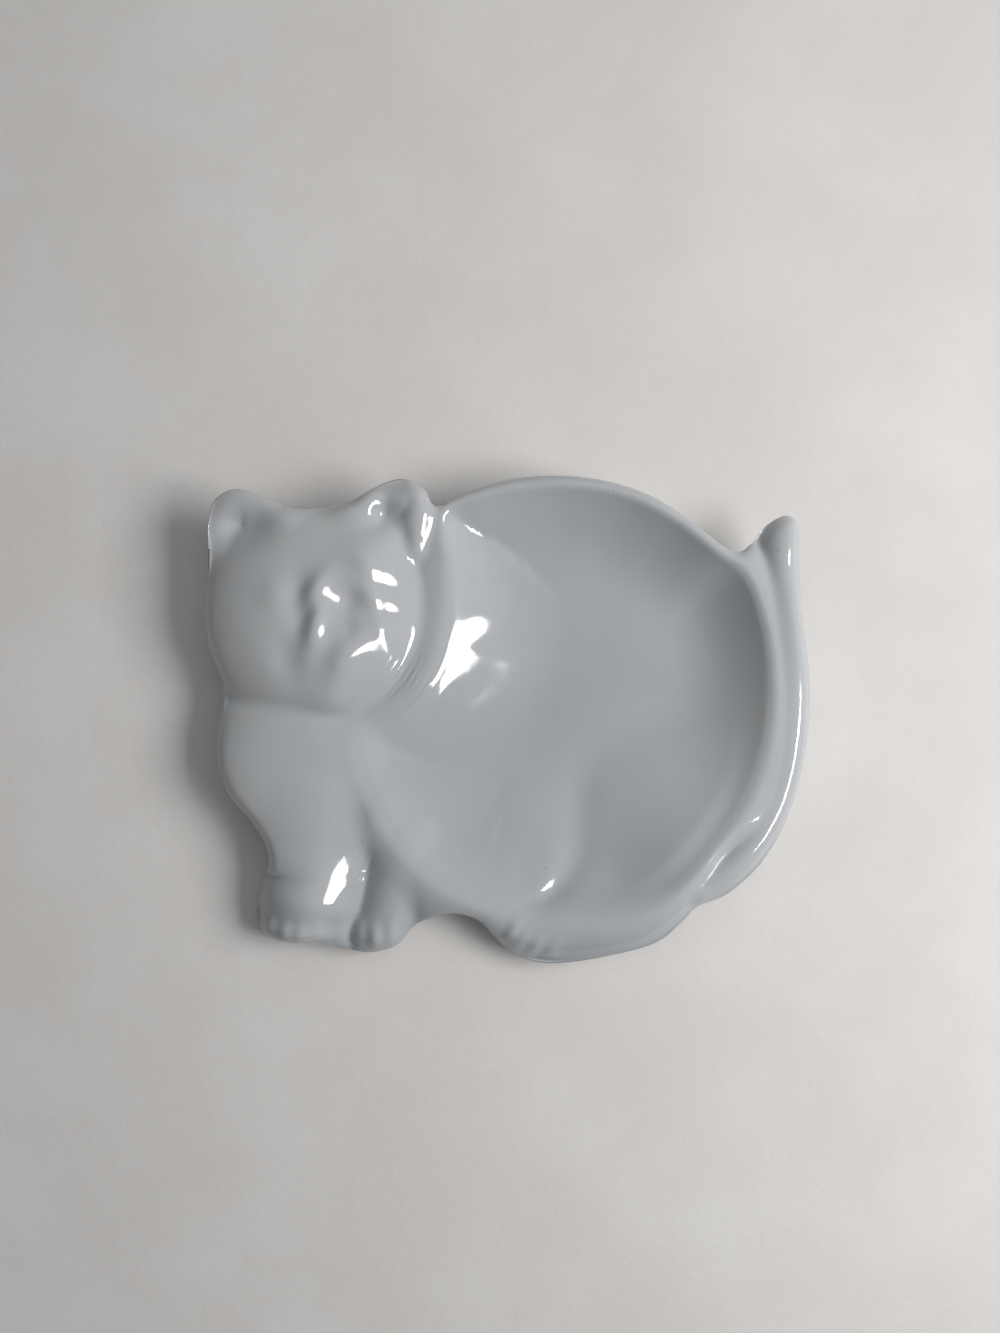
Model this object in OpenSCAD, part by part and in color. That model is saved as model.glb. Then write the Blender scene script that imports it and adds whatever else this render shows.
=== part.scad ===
// Tea bag rest in the shape of a lying cat, seen from above.
// The cat's body is a shallow basin, with the head, the forelegs, the hind leg
// and the tail round it. All is one porcelain casting, 3 to 4 mm thick.
// It is divided into the forms that its maker joins, along the creases.
// X runs from the cheek to the tail, Y from the hind foot to the back, Z up.
// The origin lies under the middle of the outline, on the table.

/* [Overall] */
// length from the cheek to the outside of the tail
length = 115.3; // [100:0.1:140]
// depth from the hind foot to the back
depth = 94; // [80:0.5:115]

/* [Basin] */
// height of the rim behind the shoulder, which the other heights follow
rim_height = 14; // [12.5:0.5:17]
// height of the basin's floor above the table
floor_top = 5.2; // [4.6:0.1:6.5]
// width of the curved wall from the rim to the floor
wall_run = 17; // [14:0.5:21]
// fineness of the rim's crest
rim_round = 1.4; // [1:0.1:2]
// distance from the rim over which the belly and thigh rise
floor_fade = 5; // [4:0.5:7]

/* [Head] */
// height of the crown of the head
crown_height = 17.2; // [15:0.5:21]
// drop of the head from its crown to its edge
head_drop = 5.2; // [4.3:0.1:6.2]
// reach of the head from its middle to that edge
head_reach = 20.5; // [17:0.5:24.5]
// height of the muzzle over the face
face_rise = 2; // [1.6:0.1:2.4]
// depth of the hollow of an ear
ear_depth = 2.8; // [2.3:0.1:3.4]
// width of the blend from ear to head
ear_blend = 2.2; // [1.8:0.1:2.7]
// width of the blend from the head to what lies under it
head_blend = 1.3; // [1.1:0.1:1.6]

/* [Body and limbs] */
// height of the chest
chest_height = 13.2; // [11:0.1:16]
// drop of the chest from its top to its edge
chest_drop = 5.6; // [4.6:0.1:6.8]
// reach of the chest from its middle to that edge
chest_reach = 19; // [16:0.5:23]
// width of the blend from the chest to the rim
chest_blend = 2; // [1.6:0.1:2.4]
// radius of the back of a limb, which each place takes a share of
limb_round = 10; // [8.5:0.5:12]
// width of the blend beside a leg
limb_blend = 1.6; // [1.3:0.1:2]
// width of the blend beside the tail
tail_blend = 1; // [0.8:0.1:1.2]
// rise of the thigh from the basin's floor
thigh_rise = 1.9; // [1.5:0.1:2.3]
// depth of the fold between belly and thigh
fold_depth = 1.8; // [1.5:0.1:2.2]
// width that the fold takes a share of
fold_width = 10; // [8.5:0.5:12]
// rise of a toe
toe_rise = 0.9; // [0.7:0.1:1.1]

/* [Edge and underside] */
// radius of the rounded upper edge
edge_round = 2.4; // [2:0.1:3]
// height of the edge's outermost face
edge_face = 0.8; // [0.6:0.1:1]
// thickness of the porcelain over the recess underneath
wall = 3.6; // [3:0.1:4]
// height of the unglazed foot ring
foot_height = 1.2; // [1:0.1:1.5]
// width of the foot ring
foot_width = 3; // [2.4:0.1:3.6]
// width of the flat band that the foot ring is set on
foot_land = 5.4; // [4.8:0.1:6.5]
// distance over which the recess rises beside that band
recess_run = 6; // [5:0.5:7]

/* [Fineness] */
// steps of each curve between two of its points
steps = 3; // [2:1:3]

/* [Hidden] */

// The basin's wall falls as a power of the distance left to the floor.
wall_power = 2.3;
// The outer side rises as a power of the distance left to the edge.
flare_power = 1.6;
// The head and chest fall as a power of the distance from their middle.
dome_power = 3;
// The crest of the rim keeps this slope on its inner side.
crest_slope = 0.35;

// Outline of the cat, clockwise from the notch behind the right ear:
// shares of the length and depth from the middle, and of the rim's height.
outline_shares = [
    [-.117, .439, .929], [-.068, .465, .929], [.004, .492, .929], [.086, .5, .929],
    [.168, .487, .929], [.241, .455, .929], [.307, .402, .929], [.352, .361, .893],
    [.379, .347, .857], [.402, .365, .857], [.427, .402, .893], [.457, .419, .929],
    [.476, .397, .893], [.48, .321, .857], [.487, .21, .821], [.498, .109, .786],
    [.499, .028, .786], [.488, -.083, .786], [.465, -.185, .75], [.424, -.279, .714],
    [.367, -.346, .679], [.316, -.375, .643], [.294, -.406, .571], [.249, -.454, .5],
    [.165, -.485, .429], [.073, -.5, .393], [.017, -.483, .393], [-.016, -.448, .5],
    [-.046, -.406, .607], [-.087, -.389, .643], [-.126, -.399, .571], [-.158, -.422, .429],
    [-.189, -.465, .357], [-.233, -.479, .357], [-.276, -.47, .357], [-.315, -.46, .357],
    [-.369, -.46, .357], [-.411, -.445, .357], [-.424, -.4, .393], [-.411, -.328, .5],
    [-.401, -.267, .571], [-.426, -.202, .643], [-.464, -.141, .714], [-.482, -.063, .75],
    [-.477, .038, .75], [-.477, .089, .75], [-.493, .15, .786], [-.5, .227, .821],
    [-.493, .301, .857], [-.49, .351, .893], [-.49, .4, .929], [-.477, .45, .964],
    [-.442, .471, 1], [-.401, .458, .964], [-.364, .438, .929], [-.315, .434, .929],
    [-.263, .445, .929], [-.218, .474, .964], [-.172, .491, 1], [-.136, .471, .964]
];
// Places in that list where two forms meet at the edge.
back_start = 0;
tail_start = 8;
hind_start = 21;
flank_start = 27;
right_paw_start = 30;
left_paw_start = 35;
left_paw_end = 38;
cheek_start = 45;
left_ear_start = 49;
brow_start = 54;
right_ear_start = 56;

// Crest of the basin's rim, clockwise: the same shares, a share of limb_round for how
// it rounds off outwards, and shares of wall_run and wall_power for the wall inside it.
rim_shares = [
    [-.099, .422, .957, .9, 1, 1], [-.045, .453, .993, .8, 1, 1], [.037, .473, 1.014, .7, 1, 1],
    [.118, .474, 1.021, .7, 1, 1], [.199, .454, 1.021, .7, 1, 1], [.273, .409, 1, .6, 1, 1],
    [.333, .353, .986, .6, 1, 1], [.388, .296, .957, 1.2, 1, 1], [.418, .2, .929, 2, 1, 1],
    [.429, .089, .929, 2.6, 1.1, 1], [.423, -.021, .929, 2.8, 1.25, 1], [.397, -.126, .907, 1.8, 1.35, 1],
    [.357, -.215, .879, .5, 1.35, 1], [.305, -.296, .836, .35, 1.2, 1], [.256, -.353, .771, .6, 1.05, .95],
    [.198, -.389, .721, .8, .9, .9], [.121, -.405, .686, .8, .8, .87], [.054, -.397, .657, .8, .82, .87],
    [.008, -.383, .664, .9, .85, .87], [-.029, -.366, .686, 1, .95, .85], [-.075, -.343, .714, 1, 1.1, .8],
    [-.128, -.301, .75, 1, 1.25, .78], [-.176, -.235, .786, .9, 1.45, .76], [-.215, -.153, .814, .9, 1.6, .75],
    [-.238, -.083, .821, 1, 1.75, .72], [-.243, -.036, .814, 1.2, 1.85, .7], [-.22, 0, .807, 1.5, 1.8, .72],
    [-.174, .031, .814, 1.8, 1.6, .8], [-.132, .079, .843, 2.2, 1.42, .88], [-.104, .15, .857, 2.6, 1.36, .9],
    [-.091, .24, .857, 2.6, 1.36, .88], [-.091, .331, .886, 1.8, 1.2, .92]
];

// Creases between the forms: inner points only, as the ends are shared.
ear_back_seam_shares = [[-.126, .396]];
neck_seam_shares = [[-.152, .291], [-.16, .23], [-.162, .17], [-.172, .105], [-.193, .053], [-.224, .015]];
chest_seam_shares = [[-.26, -.056], [-.254, -.116], [-.239, -.179]];
flank_seam_shares = [[-.2, -.274], [-.17, -.322]];
leg_seam_shares = [[-.232, -.29], [-.267, -.36]];
chin_seam_shares = [[-.338, .009], [-.41, .051]];
left_ear_seam_shares = [[-.464, .355], [-.435, .372], [-.407, .394], [-.384, .418]];
right_ear_seam_shares = [[-.236, .412], [-.203, .376], [-.17, .353]];
haunch_seam_shares = [[.284, -.348], [.238, -.342], [.16, -.34], [.078, -.34], [.021, -.368]];
tail_seam_shares = [
    [.384, .339], [.391, .327], [.397, .311], [.405, .287], [.42, .238], [.435, .17],
    [.445, .099], [.446, .025], [.433, -.068], [.407, -.155], [.372, -.237], [.336, -.31]
];
// Points where three forms meet inside the outline.
ear_corner_share = [-.137, .347];
throat_share = [-.256, -.006];
elbow_share = [-.218, -.233];

// Backs of the limbs and rims of the ears: shares of length, depth, rim height and limb_round.
left_leg_shares = [
    [-.335, -.132, .914, 1.8], [-.331, -.245, .879, 1.7], [-.332, -.311, .836, 1.2], [-.34, -.369, .764, 1],
    [-.349, -.414, .657, .8]
];
right_leg_shares = [
    [-.171, -.24, .729, .8], [-.182, -.314, .7, .7], [-.203, -.387, .614, .6], [-.215, -.421, .564, .6]
];
tail_shares = [
    [.318, -.337, .771, .34], [.375, -.287, .829, .32], [.428, -.205, .871, .3], [.457, -.118, .9, .3],
    [.472, .009, .929, .3], [.471, .129, .957, .3], [.462, .23, .971, .32], [.453, .309, 1, .34],
    [.452, .358, 1.043, .36], [.454, .385, 1.029, .36]
];
hind_leg_shares = [
    [.319, -.338, .729, .3], [.263, -.366, .75, .4], [.179, -.403, .721, .5], [.096, -.415, .671, .55],
    [.041, -.423, .614, .55], [.021, -.426, .586, .55]
];
left_ear_rim_shares = [
    [-.475, .357, .871, .36], [-.475, .41, .936, .38], [-.46, .441, 1, .4], [-.433, .454, 1.036, .42],
    [-.402, .442, 1.043, .48], [-.366, .418, 1.057, .55]
];
right_ear_rim_shares = [
    [-.252, .42, 1.071, .7], [-.217, .446, 1.057, .7], [-.184, .468, 1.057, .5], [-.158, .463, 1.064, .24],
    [-.142, .431, 1.071, .12], [-.137, .384, 1.043, .11], [-.154, .337, .993, .26]
];
// Fold between belly and thigh: shares of length, depth, fold_depth and fold_width.
fold_shares = [
    [.309, .022, .111, .54], [.233, -.015, .222, .5], [.17, -.063, .306, .48], [.13, -.129, .361, .44],
    [.12, -.206, .389, .4], [.118, -.27, .389, .36], [.094, -.322, .444, .28], [.052, -.351, .611, .23],
    [.005, -.355, .5, .2]
];
// Middle line of the foot ring, clockwise: shares of length and depth.
foot_shares = [
    [-.424, .236], [-.4, .33], [-.323, .355], [-.22, .34], [-.1, .374], [.022, .42], [.143, .42],
    [.247, .37], [.316, .279], [.347, .151], [.34, -.008], [.313, -.145], [.256, -.26],
    [.169, -.335], [.074, -.345], [-.03, -.315], [-.133, -.315], [-.22, -.365], [-.297, -.374],
    [-.345, -.311], [-.361, -.188], [-.405, -.071], [-.424, .067]
];

// Small forms: shares of length and depth for the place, a share of the rise,
// shares of the length for the two radii, and the turn in degrees.
muzzle_shares = [-.285, .129, .35, .054, .047, 0];
nose_shares = [-.304, .216, .6, .028, .043, 0];
bridge_shares = [-.294, .272, .4, .026, .036, 0];
left_socket_shares = [-.351, .22, -.3, .035, .05, 0];
right_socket_shares = [-.257, .232, -.6, .029, .042, 12];
left_eye_shares = [-.383, .254, .25, .026, .028, 0];
cheekbone_shares = [-.204, .347, 1, .052, .049, 0];
cheek_shares = [-.206, .177, .3, .042, .038, 30];
left_jowl_shares = [-.352, .113, -.45, .029, .049, 20];
chin_shares = [-.28, .046, .5, .056, .038, 0];
right_jowl_shares = [-.215, .113, -.25, .031, .028, 30];
face_form_shares = [
    muzzle_shares, nose_shares, bridge_shares, left_socket_shares, right_socket_shares, left_eye_shares,
    cheekbone_shares, cheek_shares, left_jowl_shares, chin_shares, right_jowl_shares
];
ear_hollow_shares = [[-.429, .401, -.286, .036, .059, -32], [-.16, .405, -.357, .027, .056, 8]];
toe_shares = [
    [-.399, -.421, .889, .012, .023, 0], [-.371, -.43, 1, .012, .023, 0],
    [-.344, -.43, 1, .012, .023, 0], [-.319, -.425, .778, .012, .021, 0],
    [-.276, -.434, .889, .012, .023, 8], [-.251, -.444, 1, .012, .023, 4],
    [-.223, -.446, 1, .012, .023, -2], [-.194, -.436, .778, .013, .023, -12],
    [.008, -.427, .667, .011, .02, -35], [.025, -.444, .778, .011, .021, -35],
    [.047, -.456, .889, .012, .022, -30], [.074, -.465, .667, .013, .022, -25]
];
floor_form_shares = [[.25, -.181, 1, .117, .13, 0], [.022, -.233, .737, .113, .078, -35]];
head_middle_share = [-.324, .236];
chest_middle_share = [-.354, -.074];
dish_middle_share = [.106, .06];
face_middle_share = [-.3, .22];

// Rings of the dish and the head, from the middle out, as shares of the way.
dish_ring_shares = [0, .17, .33, .47, .59, .69, .77, .84, .9, .95, .98, 1];
dish_outer_ring_shares = [.35, .7, 1];
dish_under_ring_shares = [0, .2, .38, .53, .65, .75, .84, .92, 1];
head_rings = 17;
head_under_ring_shares = [0, .2, .38, .54, .68, .8, .9, 1];
crest_limit_share = .96;
// Cells across a strip, closer towards the edge.
ear_strips = 6;
limb_strips = 8;
strip_power = 1.4;
ring_power = 1.2;

// Blends and curves

function clamp(t) = min(max(t, 0), 1);
function smooth(t) = let (c = clamp(t)) c * c * (3 - 2 * c);
function over(a, b, blend) = let (h = max(blend - abs(a - b), 0) / blend) max(a, b) + h * h * blend / 4;
function under_of(a, b, blend) = -over(-a, -b, blend);

function between(p, t) =
    (2 * p[1] + (p[2] - p[0]) * t + (2 * p[0] - 5 * p[1] + 4 * p[2] - p[3]) * t * t
    + (3 * p[1] - p[0] - 3 * p[2] + p[3]) * t * t * t) / 2;
function loop_curve(p) = [
    for (i = [0:len(p) - 1], k = [0:steps - 1])
        between([for (j = [i + len(p) - 1:i + len(p) + 2]) p[j % len(p)]], k / steps)
];
function at(p, i) = i < 0 ? 2 * p[0] - p[1] : i >= len(p) ? 2 * p[len(p) - 1] - p[len(p) - 2] : p[i];
function open_curve(p) = [
    for (i = [0:len(p) - 2], k = [0:i == len(p) - 2 ? steps : steps - 1])
        between([for (j = [i - 1:i + 2]) at(p, j)], k / steps)
];
function backwards(p) = [for (i = [len(p) - 1:-1:0]) p[i]];
function joined(a, b) = concat(a, [for (i = [1:len(b) - 1]) b[i]]);

// Places and lists in millimetres

function spot(s) = [s[0] * length, s[1] * depth];
function spots(shares) = [for (s = shares) spot(s)];
function crest(shares) = [
    for (s = shares) [s[0] * length, s[1] * depth, s[2] * rim_height, s[3] * limb_round]
];

edge = loop_curve([for (s = outline_shares) [s[0] * length, s[1] * depth, s[2] * rim_height]]);
rim = loop_curve([
    for (s = rim_shares) [s[0] * length, s[1] * depth, s[2] * rim_height, s[3] * limb_round, s[4], s[5]]
]);
foot_line = loop_curve(spots(foot_shares));
left_leg_crest = open_curve(crest(left_leg_shares));
right_leg_crest = open_curve(crest(right_leg_shares));
tail_crest = open_curve(crest(tail_shares));
hind_crest = open_curve(crest(hind_leg_shares));
left_ear_crest = open_curve(crest(left_ear_rim_shares));
right_ear_crest = open_curve(crest(right_ear_rim_shares));
fold = open_curve([for (s = fold_shares) [s[0] * length, s[1] * depth, s[2] * fold_depth, s[3] * fold_width]]);

// Nearest point of a curve: distance, side (1 is inside a clockwise loop), and the point itself.

function to_span(a, b, p) =
    let (
        e = [b.x - a.x, b.y - a.y],
        w = [p.x - a.x, p.y - a.y],
        t = clamp((w * e) / (e * e)),
        q = a + t * (b - a)
    )
    [norm([p.x - q.x, p.y - q.y]), e.x * w.y > e.y * w.x ? -1 : 1, q];
function nearest(c, p, closed) =
    let (
        n = len(c),
        d = [for (q = c) (q.x - p.x) * (q.x - p.x) + (q.y - p.y) * (q.y - p.y)],
        i = search(min(d), d)[0],
        before = closed ? (i + n - 1) % n : max(i - 1, 0),
        after = closed ? (i + 1) % n : min(i + 1, n - 1),
        a = before == i ? undef : to_span(c[before], c[i], p),
        b = after == i ? undef : to_span(c[i], c[after], p)
    )
    a == undef ? b : b == undef ? a : a[0] < b[0] ? a : b;

// Relief of the upper side

function turned(p, s) =
    let (
        w = [p.x - s[0] * length, p.y - s[1] * depth],
        u = (w.x * cos(s[5]) + w.y * sin(s[5])) / (s[3] * length),
        v = (w.y * cos(s[5]) - w.x * sin(s[5])) / (s[4] * length)
    )
    u * u + v * v;
function forms(p, shares, rise, i = 0) =
    i == len(shares) ? 0 : shares[i][2] * rise * exp(-turned(p, shares[i])) + forms(p, shares, rise, i + 1);
function back_of(c, p) = let (r = nearest(c, p, false)) r[2].z - r[0] * r[0] / (2 * r[2][3]);
function dome(p, middle, height, drop, reach) =
    height - drop * pow(norm(p - spot(middle)) / reach, dome_power);

function bowl(p) =
    let (
        r = nearest(rim, p, true),
        d = r[0] * r[1],
        z = r[2].z,
        run = r[2][4] * wall_run,
        power = r[2][5] * wall_power,
        left = clamp(1 - d / run),
        inner = floor_top + (z - floor_top) * (d > 0 ? pow(left, power) : 1 - power * d / run),
        outer = z + (d < 0 ? -d * d / (2 * r[2][3]) : crest_slope * d),
        f = nearest(fold, p, false),
        w = f[0] / f[2][3]
    )
    under_of(inner, outer + rim_round / 4, rim_round)
    + smooth(d / floor_fade) * (forms(p, floor_form_shares, thigh_rise) - f[2].z * exp(-w * w));

function torso(p) = over(bowl(p), dome(p, chest_middle_share, chest_height, chest_drop, chest_reach), chest_blend);
function body_relief(p) =
    let (
        b = over(torso(p), back_of(left_leg_crest, p), limb_blend),
        c = over(b, back_of(right_leg_crest, p), limb_blend),
        d = over(c, back_of(tail_crest, p), tail_blend)
    )
    over(d, back_of(hind_crest, p), limb_blend);
function skull(p) = dome(p, head_middle_share, crown_height, head_drop, head_reach);
function head_relief(p) =
    let (
        h = skull(p) + forms(p, face_form_shares, face_rise),
        e = over(back_of(left_ear_crest, p), back_of(right_ear_crest, p), rim_round)
    )
    over(e, h, ear_blend) + forms(p, ear_hollow_shares, ear_depth);
function rounding(d) = let (t = 1 - clamp(d / edge_round)) sqrt(1 - t * t);

function top(p) =
    let (
        e = nearest(edge, p, true),
        z = over(body_relief(p), head_relief(p), head_blend) + forms(p, toe_shares, toe_rise)
    )
    e[2].z + (z - e[2].z) * rounding(e[0]);

// Underside: the outer side comes down to the flat band of the foot, and inside it
// a recess rises under the floor, the head and the chest, one wall below them.

function under(p) =
    let (
        e = nearest(edge, p, true),
        f = nearest(foot_line, p, true),
        out = f[0] - foot_land / 2,
        ceiling = max(over(torso(p), skull(p), head_blend) - wall, foot_height)
    )
    out <= 0 ? foot_height
    : f[1] > 0 ? foot_height + (ceiling - foot_height) * smooth(out / recess_run)
    : foot_height + (e[2].z - edge_face - foot_height) * pow(out / (e[0] + out), flare_power);

// Seams, each from one shared end to the other

function edge_part(a, b) = [for (i = [a * steps:b * steps]) let (q = edge[i % len(edge)]) [q.x, q.y]];
function edge_spot(i) = spot(outline_shares[i % len(outline_shares)]);
function seam(a, shares, b) = open_curve(concat([a], spots(shares), [b]));

ear_corner = spot(ear_corner_share);
throat = spot(throat_share);
elbow = spot(elbow_share);
right_ear_end = len(outline_shares);

ear_back_seam = seam(edge_spot(back_start), ear_back_seam_shares, ear_corner);
neck_seam = seam(ear_corner, neck_seam_shares, throat);
chest_seam = seam(throat, chest_seam_shares, elbow);
flank_seam = seam(elbow, flank_seam_shares, edge_spot(right_paw_start));
leg_seam = seam(elbow, leg_seam_shares, edge_spot(left_paw_start));
chin_seam = seam(throat, chin_seam_shares, edge_spot(cheek_start));
left_ear_seam = seam(edge_spot(left_ear_start), left_ear_seam_shares, edge_spot(brow_start));
right_ear_seam = seam(edge_spot(right_ear_start), right_ear_seam_shares, ear_corner);
haunch_seam = seam(edge_spot(hind_start), haunch_seam_shares, edge_spot(flank_start));
tail_seam = seam(edge_spot(tail_start), tail_seam_shares, edge_spot(hind_start));

// Meshes of points: rows of [x, y]

function strips(n, closer) = [
    for (j = [0:n]) closer > 0 ? pow(j / n, strip_power) : 1 - pow(1 - j / n, strip_power)
];
function blended(a, b, first, last, t) =
    let (n = len(a) - 1, m = len(t) - 1)
    [
        for (i = [0:n]) let (v = i / n) [
            for (j = [0:m]) let (u = t[j])
                (1 - u) * a[i] + u * b[i] + (1 - v) * first[j] + v * last[j]
                - (1 - v) * ((1 - u) * first[0] + u * first[m]) - v * ((1 - u) * last[0] + u * last[m])
        ]
    ];
function point_row(p, n) = [for (j = [0:n]) p];

function crest_way(p, c, way, tries) =
    tries == 0 ? min(way, crest_limit_share)
    : let (r = nearest(rim, c + (p - c) * way, true)) crest_way(p, c, way + r[0] * r[1] / norm(p - c), tries - 1);
function rings(loop, c, ways) = [for (w = ways) [for (p = loop) c + (p - c) * w]];
function crest_rings(loop, c) =
    let (ways = [for (p = loop) crest_way(p, c, crest_limit_share, 4)])
    concat(
        [for (s = dish_ring_shares) [for (i = [0:len(loop) - 1]) c + (loop[i] - c) * ways[i] * s]],
        [for (s = dish_outer_ring_shares) [
            for (i = [0:len(loop) - 1]) c + (loop[i] - c) * (ways[i] + (1 - ways[i]) * s)
        ]]
    );

// Solids between the relief and the underside. Faces run clockwise as seen from outside.

function flat_list(rows) = [for (r = rows) each r];
function split(a, b, c, d) = [[a, b, c], [a, c, d]];

module ring_solid(upper, lower) {
    m = len(upper[0]);
    n = len(upper) - 1;
    k = len(lower) - 1;
    base = m * (n + 1);
    points = concat(
        [for (p = flat_list(upper)) [p.x, p.y, top(p)]],
        [for (p = flat_list(lower)) [p.x, p.y, under(p)]]
    );
    faces = concat(
        [for (j = [0:m - 1]) [0, m + j, m + (j + 1) % m]],
        [for (i = [1:n - 1], j = [0:m - 1]) each
            split(i * m + j, (i + 1) * m + j, (i + 1) * m + (j + 1) % m, i * m + (j + 1) % m)],
        [for (j = [0:m - 1]) [base, base + m + (j + 1) % m, base + m + j]],
        [for (i = [1:k - 1], j = [0:m - 1]) each
            split(base + i * m + (j + 1) % m, base + (i + 1) * m + (j + 1) % m,
                base + (i + 1) * m + j, base + i * m + j)],
        [for (j = [0:m - 1]) each
            split(n * m + (j + 1) % m, n * m + j, base + k * m + j, base + k * m + (j + 1) % m)]
    );
    polyhedron(points, faces);
}

module strip_solid(rows, first_pinched, last_pinched) {
    n = len(rows) - 1;
    m = len(rows[0]) - 1;
    base = (n + 1) * (m + 1);
    function at_top(i, j) = i * (m + 1) + ((i == 0 && first_pinched) || (i == n && last_pinched) ? 0 : j);
    function at_base(i, j) = base + at_top(i, j);
    points = concat(
        [for (p = flat_list(rows)) [p.x, p.y, top(p)]],
        [for (p = flat_list(rows)) [p.x, p.y, under(p)]]
    );
    faces = concat(
        [for (i = [0:n - 1], j = [0:m - 1]) each
            split(at_top(i, j), at_top(i, j + 1), at_top(i + 1, j + 1), at_top(i + 1, j))],
        [for (i = [0:n - 1], j = [0:m - 1]) each
            split(at_base(i + 1, j), at_base(i + 1, j + 1), at_base(i, j + 1), at_base(i, j))],
        [for (j = [0:m - 1]) each split(at_top(0, j + 1), at_top(0, j), at_base(0, j), at_base(0, j + 1))],
        [for (j = [0:m - 1]) each split(at_top(n, j), at_top(n, j + 1), at_base(n, j + 1), at_base(n, j))],
        [for (i = [0:n - 1]) each split(at_top(i + 1, m), at_top(i, m), at_base(i, m), at_base(i + 1, m))],
        [for (i = [0:n - 1]) each split(at_top(i, 0), at_top(i + 1, 0), at_base(i + 1, 0), at_base(i, 0))]
    );
    // a pinched row is one point, which leaves flat triangles out
    polyhedron(points, [for (f = faces) if (f[0] != f[1] && f[1] != f[2] && f[2] != f[0]) f]);
}

// The forms

module dish() {
    loop = concat(
        edge_part(back_start, tail_start),
        [for (i = [1:len(tail_seam) - 1]) tail_seam[i]],
        [for (i = [1:len(haunch_seam) - 1]) haunch_seam[i]],
        [for (i = [flank_start * steps + 1:right_paw_start * steps]) [edge[i].x, edge[i].y]],
        [for (i = [len(flank_seam) - 2:-1:0]) flank_seam[i]],
        [for (i = [len(chest_seam) - 2:-1:0]) chest_seam[i]],
        [for (i = [len(neck_seam) - 2:-1:0]) neck_seam[i]],
        [for (i = [len(ear_back_seam) - 2:-1:1]) ear_back_seam[i]]
    );
    c = spot(dish_middle_share);
    color("lightsteelblue") ring_solid(crest_rings(loop, c), rings(loop, c, dish_under_ring_shares));
}

module head() {
    loop = concat(
        left_ear_seam,
        [for (i = [brow_start * steps + 1:right_ear_start * steps]) [edge[i].x, edge[i].y]],
        [for (i = [1:len(right_ear_seam) - 1]) right_ear_seam[i]],
        [for (i = [1:len(neck_seam) - 1]) neck_seam[i]],
        [for (i = [1:len(chin_seam) - 1]) chin_seam[i]],
        [for (i = [cheek_start * steps + 1:left_ear_start * steps - 1]) [edge[i].x, edge[i].y]]
    );
    c = spot(face_middle_share);
    ways = [for (i = [0:head_rings]) 1 - pow(1 - i / head_rings, ring_power)];
    color("lightblue") ring_solid(rings(loop, c, ways), rings(loop, c, head_under_ring_shares));
}

module left_ear() {
    ear_edge = edge_part(left_ear_start, brow_start);
    color("lightcyan") strip_solid(
        blended(left_ear_seam, ear_edge, point_row(ear_edge[0], ear_strips),
            point_row(edge_spot(brow_start), ear_strips), strips(ear_strips, -1)),
        true, true);
}

module right_ear() {
    ear_edge = edge_part(right_ear_start, right_ear_end);
    color("lightcyan") strip_solid(
        blended(right_ear_seam, ear_edge, point_row(ear_edge[0], len(ear_back_seam) - 1),
            backwards(ear_back_seam), strips(len(ear_back_seam) - 1, -1)),
        true, false);
}

module left_foreleg() {
    color("lavender") strip_solid(
        blended(backwards(edge_part(left_paw_end, cheek_start)), joined(chest_seam, leg_seam),
            backwards(chin_seam), backwards(edge_part(left_paw_start, left_paw_end)),
            strips(len(chin_seam) - 1, 1)),
        false, false);
}

module right_foreleg() {
    paw_edge = backwards(edge_part(right_paw_start, left_paw_start));
    color("lavender") strip_solid(
        blended(leg_seam, flank_seam, point_row(elbow, len(paw_edge) - 1), paw_edge,
            [for (j = [0:len(paw_edge) - 1]) j / (len(paw_edge) - 1)]),
        true, false);
}

module hind_leg() {
    leg_edge = edge_part(hind_start, flank_start);
    color("lavender") strip_solid(
        blended(haunch_seam, leg_edge, point_row(leg_edge[0], limb_strips),
            point_row(edge_spot(flank_start), limb_strips), strips(limb_strips, -1)),
        true, true);
}

module tail() {
    tail_edge = edge_part(tail_start, hind_start);
    color("aliceblue") strip_solid(
        blended(tail_seam, tail_edge, point_row(tail_edge[0], limb_strips),
            point_row(edge_spot(hind_start), limb_strips), strips(limb_strips, -1)),
        true, true);
}

module foot_ring() {
    n = len(foot_line);
    side = [for (i = [0:n - 1]) let (e = foot_line[(i + 1) % n] - foot_line[(i + n - 1) % n]) [e.y, -e.x] / norm(e)];
    outer = [for (i = [0:n - 1]) foot_line[i] - side[i] * foot_width / 2];
    inner = [for (i = [0:n - 1]) foot_line[i] + side[i] * foot_width / 2];
    color("wheat") linear_extrude(foot_height)
        polygon(concat(outer, inner), [[for (i = [0:n - 1]) i], [for (i = [n:2 * n - 1]) i]]);
}

dish();
head();
left_ear();
right_ear();
left_foreleg();
right_foreleg();
hind_leg();
tail();
foot_ring();
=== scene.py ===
"""Cat-shaped tea bag rest of glazed porcelain on a pale sheet, seen from straight above."""
import math
from collections import Counter

import bpy
import numpy as np
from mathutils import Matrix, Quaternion, Vector


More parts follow.
